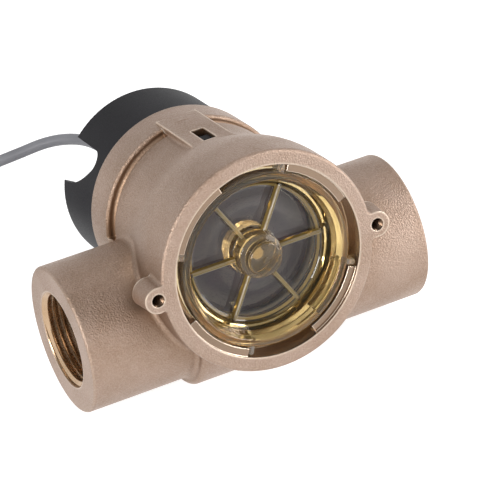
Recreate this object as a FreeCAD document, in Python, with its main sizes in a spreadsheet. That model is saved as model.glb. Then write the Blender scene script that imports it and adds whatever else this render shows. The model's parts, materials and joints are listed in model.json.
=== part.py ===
import FreeCAD, Part
import math
import os
import re

import Sketcher

# In-line paddle-wheel flow sensor.
# Drawing frame of the sensor: X runs along the pipe, Y is up, Z comes out of the lens.
# The front face of the bezel is Z = 0, so a depth behind that face is a negative Z.
# Bench frame of the finished part: Z up, the sensor tipped back on its belly and its bonnet, floor at Z = 0.

# Driving dimensions in millimetres and degrees
SIZES = {
    # Bronze casting, turned forms about the lens axis
    "barrel_radius": 29.7,
    "bezel_round": 0.9,
    "shoulder_lead": 19.7,
    "shoulder_length": 24.4,
    "neck_drop": 4.3,
    "neck_length": 7.6,
    "step_length": 2.0,
    "groove_radius": 1.3,
    "groove_lip": 1.0,
    "groove_lip_angle": 18.0,
    "groove_depth": 1.5,
    "groove_low_end": 2.0,
    "groove_span": 74.5,
    "rim_drop": 3.2,
    "rim_length": 11.5,
    "rim_round": 0.8,
    # Pipe ports and belly about the flow axis
    "flow_height": 14.1,
    "port_depth": 28.7,
    "port_radius": 19.9,
    "port_round": 0.8,
    "face_to_face": 98.0,
    "belly_step": 2.6,
    "foot_cut": 0.2,
    "belly_length": 39.0,
    "cast_fillet": 1.5,
    "thread_radius": 13.0,
    "thread_length": 17.0,
    "mouth_chamfer": 0.15,
    "passage_radius": 9.0,
    # Ears with tapped holes
    "ear_offset": 1.5,
    "ear_radius": 3.5,
    "ear_length": 7.2,
    "ear_draft": 4.0,
    "ear_hole_radius": 1.7,
    "ear_hole_depth": 6.0,
    "ear_fillet": 1.2,
    # Latch pad on top of the casting
    "pad_width": 11.6,
    "pad_lead": 11.7,
    "pad_overlap": 4.5,
    "pad_sink": 0.1,
    "pad_fillet": 0.8,
    "window_inset": 8.6,
    "window_length": 8.6,
    "window_width": 3.6,
    # Bayonet mouth and chamber
    "bezel_width": 3.9,
    "lip_depth": 1.0,
    "lip_thickness": 2.4,
    "lip_width": 2.1,
    "lip_count": 4,
    "slot_angle": 45.0,
    "seat_depth": 6.6,
    "seat_width": 2.1,
    "spigot_depth": 13.0,
    "chamber_step": 1.0,
    "chamber_behind": 9.3,
    "back_wall": 2.6,
    "pin_boss_radius": 4.2,
    "pin_boss_height": 0.7,
    # Lens
    "lens_gap": 0.35,
    "lens_face": 1.3,
    "lug_thickness": 2.5,
    "lug_angle": 40.5,
    "stop_angle": 3.5,
    "stop_gap": 0.8,
    "cup_land": 1.95,
    "cup_slope": 2.8,
    "window_depth": 8.75,
    "window_thickness": 2.6,
    "skirt_height": 1.1,
    "skirt_wall": 2.8,
    "rib_count": 6,
    "rib_width": 1.3,
    "rib_height": 1.8,
    "hub_radius": 6.0,
    "hub_round": 0.8,
    "hub_fillet": 0.6,
    "hub_face": 1.7,
    "boss_depth": 16.0,
    "boss_radius": 6.2,
    # Seal
    "seal_section": 1.78,
    "seal_gap": 0.05,
    "seal_groove_front": 9.5,
    # Rotor, its pin and magnets
    "pin_radius": 1.5,
    "pin_front": 9.6,
    "pin_seat": 1.5,
    "running_gap": 0.05,
    "end_play": 0.3,
    "rotor_gap": 1.0,
    "rotor_hub_radius": 5.0,
    "disc_step": 0.7,
    "disc_thickness": 1.6,
    "paddle_count": 6,
    "paddle_thickness": 2.2,
    "magnet_inset": 5.1,
    "magnet_radius": 1.75,
    "magnet_length": 4.0,
    "magnet_wall": 0.9,
    # Bonnet
    "rim_wall": 4.5,
    "bonnet_drop": 1.3,
    "skirt_length": 22.4,
    "bonnet_round": 0.5,
    "bonnet_wall": 3.2,
    "spigot_gap": 0.2,
    "spigot_wall": 2.2,
    "spigot_front_gap": 1.4,
    "floor_inset": 2.3,
    "floor_thickness": 3.0,
    "notch_width": 12.4,
    "notch_depth": 16.6,
    "notch_corner": 3.2,
    "notch_angle": 150.5,
    "arm_width": 3.2,
    "arm_thickness": 1.9,
    "arm_gap": 0.2,
    "hook_rise": 1.6,
    "hook_length": 5.0,
    "post_count": 3,
    "post_inset": 5.2,
    "post_angle": 30.0,
    "post_radius": 2.2,
    "stake_radius": 1.0,
    "stake_head_radius": 1.7,
    "stake_head_height": 0.8,
    # Board and what it carries
    "board_edge_gap": 0.4,
    "board_thickness": 1.6,
    "board_hole_gap": 0.1,
    "sensor_width": 4.1,
    "sensor_height": 3.0,
    "sensor_thickness": 1.6,
    "sensor_gap": 0.8,
    "chip_length": 2.0,
    "chip_width": 1.25,
    "resistor_height": 0.5,
    "capacitor_height": 1.2,
    "diode_length": 4.4,
    "diode_width": 2.6,
    "diode_height": 2.2,
    # Cable, its grommet and its leads
    "cable_radius": 1.65,
    "cable_tail_inside": 1.8,
    "grommet_hole_radius": 3.4,
    "grommet_flange_radius": 4.8,
    "grommet_flange": 1.2,
    "wire_radius": 0.55,
    "wire_circle": 0.9,
    "coil_radius": 19.8,
    "coil_round": 1.55,
    "coil_stub": 13.0,
    "coil_tail": 22.0,
    "tie_width": 2.4,
    "tie_thickness": 0.7,
    "lead_length": 22.0,
    "lead_bend": 1.8,
    "lead_spread": 5.5,
    "tip_radius": 0.38,
    "tip_length": 5.0,
}

# Sizes that follow from the driving ones, in an order in which each needs only those before it
DERIVED = {
    "shoulder_start": "port_depth - shoulder_lead",
    "shoulder_end": "shoulder_start + shoulder_length",
    "step_front": "shoulder_end + neck_length",
    "step_rear": "step_front + step_length",
    "groove_middle": "(step_front + step_rear) / 2",
    "rim_depth": "step_rear + rim_length",
    "pad_front": "port_depth - pad_lead",
    "pad_rear": "step_rear + pad_overlap",
    "window_front": "pad_front + window_inset",
    "chamber_depth": "port_depth + chamber_behind",
    "bonnet_depth": "rim_depth + skirt_length",
    "floor_front": "rim_depth + floor_inset",
    "notch_run": "notch_width - notch_corner",
    "notch_rise": "notch_depth - notch_corner",
    "notch_sweep": "(notch_run^2 + notch_rise^2 - notch_corner^2) / (2 * (notch_run - notch_corner))",
    "port_drop": "barrel_radius - flow_height",
    "belly_radius": "port_radius + belly_step",
    "foot_height": "belly_radius - foot_cut",
    "ear_spacing": "2 * (barrel_radius + ear_offset)",
    "neck_radius": "barrel_radius - neck_drop",
    "rim_radius": "barrel_radius - rim_drop",
    "groove_floor": "neck_radius - groove_depth",
    "bezel_bore": "barrel_radius - bezel_width",
    "lip_bore": "bezel_bore - lip_width",
    "spigot_bore": "lip_bore - seat_width",
    "chamber_radius": "spigot_bore - chamber_step",
    "cup_rim_radius": "lip_bore - lens_gap - cup_land",
    "cup_floor_radius": "cup_rim_radius - cup_slope",
    "rotor_radius": "chamber_radius - rotor_gap",
    "magnet_circle": "rotor_radius - magnet_inset",
    "cavity_radius": "rim_radius - rim_wall",
    "bonnet_radius": "rim_radius - bonnet_drop",
    "cavity_front": "chamber_depth + back_wall",
    "spigot_front": "cavity_front + spigot_front_gap",
    "board_radius": "cavity_radius - spigot_gap - spigot_wall - board_edge_gap",
    "post_circle": "board_radius - post_inset",
    "board_depth": "cavity_front + sensor_gap + sensor_thickness",
}

# Route of the cable on the bench, from behind the bonnet to the coil (bench frame)
ROUTE = [(-0.7, 60.0, 16.7), (-2.6, 73.8, 14.3), (-10.3, 82.8, 11.2), (-21.5, 86.4, 7.0),
         (-32.5, 89.4, 3.9), (-42.5, 91.45, 1.65)]
COIL_CENTRE = (-62.0, 70.0)
ARC_REACH = 0.45

doc = FreeCAD.newDocument("flow_sensor")
sheet = doc.addObject("Spreadsheet::Sheet", "Sizes")
cells = [(alias, str(size)) for alias, size in SIZES.items()]
cells += [(alias, "=" + formula) for alias, formula in DERIVED.items()]
for row, (alias, text) in enumerate(cells, start=1):
    sheet.set("A%d" % row, alias)
    sheet.set("B%d" % row, text)
    sheet.setAlias("B%d" % row, alias)
    doc.recompute()

ALIAS = re.compile(r"\b(%s)\b" % "|".join([*SIZES, *DERIVED]))
TINY = 1e-4


def bound(text):
    """The expression for a size formula, with each name read from the sheet."""
    return ALIAS.sub(r"Sizes.\1", text)


def number(text):
    """The present value of a size formula."""
    return float(sheet.evalExpression(bound(text)))


def vector(x, y, z=0.0):
    return FreeCAD.Vector(x, y, z)


# Heights along the lens axis that several pieces share
LIP_BOTTOM = "(lip_depth + lip_thickness)"
LUG_TOP = "(lip_depth + lip_thickness + lens_gap)"
LUG_BOTTOM = "(lip_depth + lip_thickness + lens_gap + lug_thickness)"
WINDOW_REAR = "(window_depth + window_thickness)"
ROTOR_FRONT = "(boss_depth + end_play)"
DISC_FRONT = "(boss_depth + end_play + disc_step)"
DISC_REAR = "(boss_depth + end_play + disc_step + disc_thickness)"
PIN_BOSS_FACE = "(chamber_depth - pin_boss_height)"
ROTOR_REAR = "(chamber_depth - pin_boss_height - end_play)"
PIN_REAR = "(chamber_depth + pin_seat)"
FLOOR_REAR = "(floor_front + floor_thickness)"
BOARD_REAR = "(board_depth + board_thickness)"
CABLE_START = "(floor_front - grommet_flange - cable_tail_inside)"
LENS_SPIGOT = "(spigot_bore - lens_gap)"
SEAL_FLOOR = "(spigot_bore - seal_gap - seal_section)"
PAD_TOP = "(rim_radius - pad_sink)"
ARM_TOP = "(cavity_radius + arm_thickness)"
BONNET_SPIGOT = "(cavity_radius - spigot_gap)"
HALF_LENGTH = "(face_to_face / 2)"
LIP_END = "(360 / lip_count - slot_angle / 2)"

# Tilt at which the foot under the belly and the bonnet's lower rear edge both touch the bench
EDGE_BEHIND = "(bonnet_depth - port_depth - bonnet_round)"
EDGE_BELOW = "(bonnet_radius - port_drop - bonnet_round)"
TILT = "(asin((foot_height - bonnet_round) / sqrt(%s^2 + %s^2)) - atan(%s / %s))" % (
    EDGE_BEHIND, EDGE_BELOW, EDGE_BELOW, EDGE_BEHIND)


# Sketches and features
def new_body(label):
    body = doc.addObject("PartDesign::Body", label)
    body.Label = label
    return body


def origin_feature(body, role):
    return next(item for item in body.Origin.OriginFeatures if item.Role == role)


def new_sketch(body, role, offset=None, turn=None):
    """A sketch on one of the body's origin planes, moved along its normal or turned about its own upright."""
    sketch = body.newObject("Sketcher::SketchObject", body.Label + "_sketch")
    sketch.AttachmentSupport = (origin_feature(body, role), [""])
    sketch.MapMode = "FlatFace"
    if turn is not None:
        sketch.AttachmentOffset = FreeCAD.Placement(vector(0, 0), FreeCAD.Rotation(vector(0, 1), number(turn)))
        sketch.setExpression("AttachmentOffset.Rotation.Angle", bound(turn))
    if offset is not None:
        sketch.setExpression("AttachmentOffset.Base.z", bound(offset))
    return sketch


def hold(sketch, geometry, point, x, y):
    """Hold one point of a sketch at two size formulas from the sketch's origin."""
    for kind, axis, text in (("DistanceX", -2, x), ("DistanceY", -1, y)):
        if text == "0":
            sketch.addConstraint(Sketcher.Constraint("PointOnObject", geometry, point, axis))
            continue
        index = sketch.addConstraint(Sketcher.Constraint(kind, -1, 1, geometry, point, number(text)))
        sketch.setExpression("Constraints[%d]" % index, bound(text))


def arc_between(start, end, radius, convex):
    """The shorter arc from start to end; on an outline drawn clockwise a convex arc bulges outwards."""
    chord = end - start
    half = chord.Length / 2
    rise = math.sqrt(max(radius * radius - half * half, 0.0))
    right = vector(chord.y, -chord.x).normalize()
    centre = (start + end) * 0.5 + right * (rise if convex else -rise)
    first, last = (end, start) if convex else (start, end)
    angles = [math.atan2(p.y - centre.y, p.x - centre.x) for p in (first, last)]
    return Part.ArcOfCircle(Part.Circle(centre, vector(0, 0, 1), radius), angles[0], angles[1])


def outline(sketch, corners, arcs=None):
    """A closed outline through corners given as size formulas.

    arcs maps a corner's index to (radius formula, convex) for the side that leaves that corner."""
    arcs = arcs or {}
    places = [vector(number(x), number(y)) for x, y in corners]
    first = sketch.GeometryCount
    ends = []
    for i, start in enumerate(places):
        end = places[(i + 1) % len(places)]
        if i in arcs:
            radius, convex = arcs[i]
            geometry = sketch.addGeometry(arc_between(start, end, number(radius), convex), False)
            ends.append((2, 1) if convex else (1, 2))
        else:
            geometry = sketch.addGeometry(Part.LineSegment(start, end), False)
            ends.append((1, 2))
    for i in range(len(places)):
        j = (i + 1) % len(places)
        sketch.addConstraint(Sketcher.Constraint("Coincident", first + i, ends[i][1], first + j, ends[j][0]))
    for i, (x, y) in enumerate(corners):
        hold(sketch, first + i, ends[i][0], x, y)
    for i, (radius, convex) in arcs.items():
        index = sketch.addConstraint(Sketcher.Constraint("Radius", first + i, number(radius)))
        sketch.setExpression("Constraints[%d]" % index, bound(radius))
    return sketch


def rectangle(sketch, left, bottom, right, top):
    return outline(sketch, [(left, bottom), (left, top), (right, top), (right, bottom)])


def circle(sketch, x, y, radius):
    shape = Part.Circle(vector(number(x), number(y)), vector(0, 0, 1), number(radius))
    geometry = sketch.addGeometry(shape, False)
    hold(sketch, geometry, 3, x, y)
    index = sketch.addConstraint(Sketcher.Constraint("Radius", geometry, number(radius)))
    sketch.setExpression("Constraints[%d]" % index, bound(radius))
    return sketch


def flow_axis(sketch):
    """A construction line along the pipe, at the ports' depth."""
    depth = -number("port_depth")
    line = sketch.addGeometry(Part.LineSegment(vector(-1, depth), vector(1, depth)), True)
    hold(sketch, line, 1, "-1", "-port_depth")
    hold(sketch, line, 2, "1", "-port_depth")
    return (sketch, ["Axis0"])


def turned(body, kind, sketch, axis=None, angle=None):
    """A Revolution or a Groove about the sketch's upright axis, or about an axis given."""
    feature = body.newObject("PartDesign::" + kind, body.Label + "_" + kind.lower())
    feature.Profile = sketch
    feature.ReferenceAxis = axis or (sketch, ["V_Axis"])
    if angle is None:
        feature.Angle = 360
    else:
        feature.setExpression("Angle", bound(angle))
        feature.Midplane = True
    doc.recompute()
    return feature


def raised(body, kind, sketch, length, midplane=False, backwards=False):
    """A Pad or a Pocket of a sketch over a length."""
    feature = body.newObject("PartDesign::" + kind, body.Label + "_" + kind.lower())
    feature.Profile = sketch
    feature.setExpression("Length", bound(length))
    feature.Midplane = midplane
    feature.Reversed = backwards
    doc.recompute()
    return feature


def filleted(body, edges, radius):
    """A fillet on edges of the body's tip that edges(edge, its faces) picks."""
    base = body.Tip
    shape = base.Shape
    names = ["Edge%d" % i for i, edge in enumerate(shape.Edges, start=1)
             if edges(edge, shape.ancestorsOfType(edge, Part.Face))]
    feature = body.newObject("PartDesign::Fillet", body.Label + "_fillet")
    feature.Base = (base, names)
    feature.setExpression("Radius", bound(radius))
    doc.recompute()
    return feature


def turned_about(face, axis):
    """Whether a face is turned about a direction."""
    if isinstance(face.Surface, Part.Plane) or not hasattr(face.Surface, "Axis"):
        return False
    return face.Surface.Axis.cross(axis).Length < TINY


def patterned(body, features, count):
    """Copies of features, evenly round the lens axis."""
    pattern = body.newObject("PartDesign::PolarPattern", body.Label + "_pattern")
    pattern.Originals = features
    pattern.Axis = (origin_feature(body, "Z_Axis"), [""])
    pattern.Angle = 360
    pattern.setExpression("Occurrences", bound(count))
    body.Tip = pattern
    doc.recompute()
    return pattern


# Bronze casting
def make_body_casting():
    body = new_body("body_casting")

    # Barrel, S-shaped shoulder, neck and rear rim
    shoulder_half = "((shoulder_end - shoulder_start) / 2)"
    step_half = "((barrel_radius - neck_radius) / 2)"
    shoulder_radius = "((%s^2 + %s^2) / (2 * %s))" % (shoulder_half, step_half, step_half)
    corners = [
        ("0", "0"),
        ("barrel_radius - bezel_round", "0"),
        ("barrel_radius", "-bezel_round"),
        ("barrel_radius", "-shoulder_start"),
        ("(barrel_radius + neck_radius) / 2", "-(shoulder_start + shoulder_end) / 2"),
        ("neck_radius", "-shoulder_end"),
        ("neck_radius", "-step_front"),
        ("rim_radius", "-step_rear"),
        ("rim_radius", "-(rim_depth - rim_round)"),
        ("rim_radius - rim_round", "-rim_depth"),
        ("0", "-rim_depth"),
    ]
    arcs = {
        1: ("bezel_round", True),
        3: (shoulder_radius, True),
        4: (shoulder_radius, False),
        8: ("rim_round", True),
    }
    turned(body, "Revolution", outline(new_sketch(body, "XZ_Plane"), corners, arcs))

    # Ports and belly, turned about the flow axis
    sketch = new_sketch(body, "XZ_Plane", offset="port_drop")
    axis = flow_axis(sketch)
    step = "((belly_radius - port_radius) / 2)"
    half_side = [
        ("%s" % HALF_LENGTH, "-port_depth"),
        ("%s" % HALF_LENGTH, "-port_depth + port_radius - port_round"),
        ("%s - port_round" % HALF_LENGTH, "-port_depth + port_radius"),
        ("belly_length / 2 + %s" % step, "-port_depth + port_radius"),
        ("belly_length / 2", "-port_depth + port_radius + %s" % step),
        ("belly_length / 2 - %s" % step, "-port_depth + belly_radius"),
    ]
    left = [("-(%s)" % x, y) for x, y in half_side]
    arcs = {1: ("port_round", True), 3: (step, False), 4: (step, True),
            6: (step, True), 7: (step, False), 9: ("port_round", True)}
    outline(sketch, left + half_side[::-1], arcs)
    turned(body, "Revolution", sketch, axis)

    # Cast fillet where the ports and the belly run into the barrel
    lens_axis = vector(0, 0, 1)
    pipe_axis = vector(1, 0, 0)

    def on_barrel(faces):
        return any(turned_about(face, lens_axis) for face in faces)

    def port_root(edge, faces):
        return on_barrel(faces) and any(turned_about(face, pipe_axis) for face in faces)

    filleted(body, port_root, "cast_fillet")

    # Latch pad, flush with the top of the rim
    sketch = rectangle(new_sketch(body, "YZ_Plane"), "cavity_radius", "-pad_rear", PAD_TOP, "-pad_front")
    raised(body, "Pad", sketch, "pad_width", midplane=True)
    pad_wall = number("pad_width / 2")
    pad_top = number(PAD_TOP)
    neck_end = -number("step_front")

    def pad_root(edge, faces):
        on_wall = abs(abs(edge.CenterOfMass.x) - pad_wall) < TINY
        on_neck = edge.BoundBox.YMax < pad_top - TINY and edge.BoundBox.ZMin > neck_end - TINY
        return on_wall and on_neck and on_barrel(faces)

    filleted(body, pad_root, "pad_fillet")

    # Ears beside the bezel
    sketch = new_sketch(body, "XY_Plane")
    for side in ("", "-"):
        circle(sketch, side + "ear_spacing / 2", "0", "ear_radius")
    ears = raised(body, "Pad", sketch, "ear_length", backwards=True)
    ears.setExpression("TaperAngle", bound("ear_draft"))
    doc.recompute()
    barrel = number("barrel_radius")
    ear_end = barrel - number("bezel_round + ear_radius / 10")
    ear_reach = number("2 * ear_radius")
    upright = number("bezel_round / 2")

    def ear_root(edge, faces):
        beside = ear_end < abs(edge.CenterOfMass.x) < barrel + TINY
        near = TINY < abs(edge.CenterOfMass.y) < ear_reach
        return beside and near and edge.BoundBox.ZLength > upright

    filleted(body, ear_root, "ear_fillet")

    # Gripping groove with rounded lips on each side of the pad, down to the ports
    middle_radius = "(groove_floor + groove_radius)"
    reach = "(groove_radius + groove_lip)"
    lip_sink = "groove_lip * cos(groove_lip_angle)"
    lip_run = "groove_lip * sin(groove_lip_angle)"
    share = "(groove_radius / %s)" % reach
    lips = []
    for surface, way in (("neck_radius", "+"), ("rim_radius", "-")):
        rise = "(%s - %s - %s)" % (surface, lip_sink, middle_radius)
        run = "sqrt(%s^2 - %s^2)" % (reach, rise)
        lips.append((surface, "-groove_middle %s (%s + %s)" % (way, run, lip_run)))
        lips.append(("%s + %s * %s" % (middle_radius, share, rise),
                     "-groove_middle %s %s * %s" % (way, share, run)))
    (front_end, front_foot, rear_end, rear_foot) = lips
    outside = "rim_radius + groove_lip"
    corners = [front_end, (outside, front_end[1]), (outside, rear_end[1]), rear_end, rear_foot, front_foot]
    arcs = {3: ("groove_lip", False), 4: ("groove_radius", True), 5: ("groove_lip", False)}
    for middle in ("groove_low_end + groove_span / 2", "180 - groove_low_end - groove_span / 2"):
        sketch = new_sketch(body, "XZ_Plane", turn=middle)
        outline(sketch, corners, arcs)
        turned(body, "Groove", sketch, angle="groove_span")

    # Bayonet mouth, lens seat, rotor chamber and pin seat
    corners = [
        ("0", "bezel_round"),
        ("bezel_bore", "bezel_round"),
        ("bezel_bore", "-lip_depth"),
        ("lip_bore", "-lip_depth"),
        ("lip_bore", "-" + LIP_BOTTOM),
        ("bezel_bore", "-" + LIP_BOTTOM),
        ("bezel_bore", "-seat_depth"),
        ("spigot_bore", "-seat_depth"),
        ("spigot_bore", "-spigot_depth"),
        ("chamber_radius", "-spigot_depth"),
        ("chamber_radius", "-chamber_depth"),
        ("pin_boss_radius", "-chamber_depth"),
        ("pin_boss_radius", "-" + PIN_BOSS_FACE),
        ("pin_radius", "-" + PIN_BOSS_FACE),
        ("pin_radius", "-" + PIN_REAR),
        ("0", "-" + PIN_REAR),
    ]
    turned(body, "Groove", outline(new_sketch(body, "XZ_Plane"), corners))

    # Slots between the bayonet lips
    sketch = rectangle(new_sketch(body, "XZ_Plane"), "spigot_bore", "-seat_depth", "bezel_bore", "0")
    slot = turned(body, "Groove", sketch, angle="slot_angle")
    patterned(body, [slot], "lip_count")

    # Rear cavity for the bonnet
    sketch = rectangle(new_sketch(body, "XZ_Plane"), "0", "-(rim_depth + rim_round)",
                       "cavity_radius", "-cavity_front")
    turned(body, "Groove", sketch)

    # Straight-through passage and the two threaded mouths
    sketch = circle(new_sketch(body, "YZ_Plane"), "-port_drop", "-port_depth", "passage_radius")
    raised(body, "Pocket", sketch, "face_to_face", midplane=True)
    for side in ("", "-"):
        sketch = new_sketch(body, "XZ_Plane", offset="port_drop")
        axis = flow_axis(sketch)
        mouth = [
            ("%s + mouth_chamfer" % HALF_LENGTH, "-port_depth"),
            ("%s + mouth_chamfer" % HALF_LENGTH, "-port_depth + thread_radius + 2 * mouth_chamfer"),
            ("%s - mouth_chamfer" % HALF_LENGTH, "-port_depth + thread_radius"),
            ("%s - thread_length" % HALF_LENGTH, "-port_depth + thread_radius"),
            ("%s - thread_length - (thread_radius - passage_radius)" % HALF_LENGTH,
             "-port_depth + passage_radius"),
            ("%s - thread_length - (thread_radius - passage_radius)" % HALF_LENGTH, "-port_depth"),
        ]
        outline(sketch, [("%s(%s)" % (side, x), y) for x, y in mouth])
        turned(body, "Groove", sketch, axis)

    # Tunnel for the bonnet's snap arm, and the window over its hook
    tunnel_front = "(window_front - arm_gap)"
    sketch = rectangle(new_sketch(body, "YZ_Plane"), "cavity_radius - arm_gap", "-rim_depth",
                       ARM_TOP + " + arm_gap", "-" + tunnel_front)
    raised(body, "Pocket", sketch, "arm_width + 2 * arm_gap", midplane=True)
    sketch = rectangle(new_sketch(body, "YZ_Plane"), "cavity_radius + arm_gap", "-(window_front + window_length)",
                       "rim_radius + pad_sink", "-window_front")
    raised(body, "Pocket", sketch, "window_width", midplane=True)

    # Flat foot under the belly, where the casting's gate is ground off
    half = "belly_radius / 2"
    deep = "(belly_radius + bezel_round)"
    corners = []
    for along, below in (("-" + half, deep), ("-" + half, "foot_height"), (half, "foot_height"), (half, deep)):
        corners.append(("-port_drop + %s * sin(%s) - %s * cos(%s)" % (along, TILT, below, TILT),
                        "-port_depth - (%s) * cos(%s) - %s * sin(%s)" % (along, TILT, below, TILT)))
    raised(body, "Pocket", outline(new_sketch(body, "YZ_Plane"), corners), "face_to_face", midplane=True)

    # Tapped holes in the ears
    sketch = new_sketch(body, "XY_Plane")
    for side in ("", "-"):
        circle(sketch, side + "ear_spacing / 2", "0", "ear_hole_radius")
    raised(body, "Pocket", sketch, "ear_hole_depth")
    return body


# Clear bayonet lens
def make_lens():
    body = new_body("lens")
    seal_rear = "(seal_groove_front + seal_section)"
    corners = [
        ("0", "-window_depth"),
        ("cup_floor_radius", "-window_depth"),
        ("cup_rim_radius", "-lens_face"),
        ("lip_bore - lens_gap", "-lens_face"),
        ("lip_bore - lens_gap", "-" + LUG_BOTTOM),
        (LENS_SPIGOT, "-" + LUG_BOTTOM),
        (LENS_SPIGOT, "-seal_groove_front"),
        (SEAL_FLOOR, "-seal_groove_front"),
        (SEAL_FLOOR, "-" + seal_rear),
        (LENS_SPIGOT, "-" + seal_rear),
        (LENS_SPIGOT, "-(%s + skirt_height)" % WINDOW_REAR),
        (LENS_SPIGOT + " - skirt_wall", "-(%s + skirt_height)" % WINDOW_REAR),
        (LENS_SPIGOT + " - skirt_wall", "-" + WINDOW_REAR),
        ("0", "-" + WINDOW_REAR),
    ]
    turned(body, "Revolution", outline(new_sketch(body, "XZ_Plane"), corners))

    # Rounded hub in front of the window and bearing boss behind it
    corners = [
        ("0", "-hub_face"),
        ("hub_radius - hub_round", "-hub_face"),
        ("hub_radius", "-(hub_face + hub_round)"),
        ("hub_radius", "-(window_depth - hub_fillet)"),
        ("hub_radius + hub_fillet", "-window_depth"),
        ("hub_radius + hub_fillet", "-" + WINDOW_REAR),
        ("boss_radius + hub_fillet", "-" + WINDOW_REAR),
        ("boss_radius", "-(%s + hub_fillet)" % WINDOW_REAR),
        ("boss_radius", "-(boss_depth - hub_fillet)"),
        ("boss_radius - hub_fillet", "-boss_depth"),
        ("0", "-boss_depth"),
    ]
    arcs = {1: ("hub_round", True), 3: ("hub_fillet", False), 6: ("hub_fillet", False), 8: ("hub_fillet", True)}
    turned(body, "Revolution", outline(new_sketch(body, "XZ_Plane"), corners, arcs))

    # Four lugs under the casting's lips, each with a stop in the slot beside its lip
    lug_outer = "bezel_bore - lens_gap"
    sketch = new_sketch(body, "XZ_Plane", turn=LIP_END + " + stop_gap + stop_angle - lug_angle / 2")
    rectangle(sketch, LENS_SPIGOT, "-" + LUG_BOTTOM, lug_outer, "-" + LUG_TOP)
    lug = turned(body, "Revolution", sketch, angle="lug_angle")
    sketch = new_sketch(body, "XZ_Plane", turn=LIP_END + " + stop_gap + stop_angle / 2")
    rectangle(sketch, LENS_SPIGOT, "-" + LUG_BOTTOM, lug_outer, "-lens_face")
    stop = turned(body, "Revolution", sketch, angle="stop_angle")
    patterned(body, [lug, stop], "lip_count")

    # Ribs from the hub to the wall of the cup
    sketch = new_sketch(body, "XY_Plane", offset="-window_depth")
    rectangle(sketch, "hub_radius / 2", "-rib_width / 2", "cup_floor_radius + rib_width / 4", "rib_width / 2")
    patterned(body, [raised(body, "Pad", sketch, "rib_height")], "rib_count")

    # Blind bearing hole for the pin
    sketch = rectangle(new_sketch(body, "XZ_Plane"), "0", "-(boss_depth + end_play)",
                       "pin_radius + running_gap", "-(pin_front - end_play)")
    turned(body, "Groove", sketch)
    return body


def make_lens_o_ring():
    body = new_body("lens_o_ring")
    sketch = circle(new_sketch(body, "XZ_Plane"), SEAL_FLOOR + " + seal_section / 2",
                    "-(seal_groove_front + seal_section / 2)", "seal_section / 2")
    turned(body, "Revolution", sketch)
    return body


# Paddle wheel
def make_rotor():
    body = new_body("rotor")
    corners = [
        ("0", "-" + ROTOR_FRONT),
        ("rotor_hub_radius", "-" + ROTOR_FRONT),
        ("rotor_hub_radius", "-" + DISC_FRONT),
        ("rotor_radius", "-" + DISC_FRONT),
        ("rotor_radius", "-" + DISC_REAR),
        ("rotor_hub_radius", "-" + DISC_REAR),
        ("rotor_hub_radius", "-" + ROTOR_REAR),
        ("0", "-" + ROTOR_REAR),
    ]
    turned(body, "Revolution", outline(new_sketch(body, "XZ_Plane"), corners))

    # One paddle with its magnet barrel, repeated round the hub
    paddle_length = "(%s - %s)" % (ROTOR_REAR, DISC_REAR)
    sketch = new_sketch(body, "XY_Plane", offset="-" + DISC_REAR)
    rectangle(sketch, "rotor_hub_radius / 2", "-paddle_thickness / 2", "rotor_radius - paddle_thickness / 4",
              "paddle_thickness / 2")
    paddle = raised(body, "Pad", sketch, paddle_length, backwards=True)
    barrel_length = "(magnet_length + 2 * magnet_wall)"
    sketch = new_sketch(body, "XY_Plane", offset="-" + ROTOR_REAR)
    circle(sketch, "magnet_circle", "0", "magnet_radius + magnet_wall")
    barrel = raised(body, "Pad", sketch, barrel_length)
    patterned(body, [paddle, barrel], "paddle_count")
    sketch = new_sketch(body, "XY_Plane", offset="-" + ROTOR_REAR)
    circle(sketch, "magnet_circle", "0", "magnet_radius")
    pocket = raised(body, "Pocket", sketch, "magnet_length", backwards=True)
    patterned(body, [pocket], "paddle_count")

    # Bearing hole
    sketch = rectangle(new_sketch(body, "XZ_Plane"), "0", "-chamber_depth",
                       "pin_radius + running_gap", "-boss_depth")
    turned(body, "Groove", sketch)
    return body


def make_rotor_magnets():
    body = new_body("rotor_magnets")
    body.AllowCompound = True
    sketch = new_sketch(body, "XY_Plane", offset="-" + ROTOR_REAR)
    circle(sketch, "magnet_circle", "0", "magnet_radius")
    patterned(body, [raised(body, "Pad", sketch, "magnet_length")], "paddle_count")
    return body


def make_rotor_pin():
    body = new_body("rotor_pin")
    chamfer = "(pin_radius / 5)"
    corners = [
        ("0", "-pin_front"),
        ("pin_radius - " + chamfer, "-pin_front"),
        ("pin_radius", "-(pin_front + %s)" % chamfer),
        ("pin_radius", "-" + PIN_REAR),
        ("0", "-" + PIN_REAR),
    ]
    turned(body, "Revolution", outline(new_sketch(body, "XZ_Plane"), corners))
    return body


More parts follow.
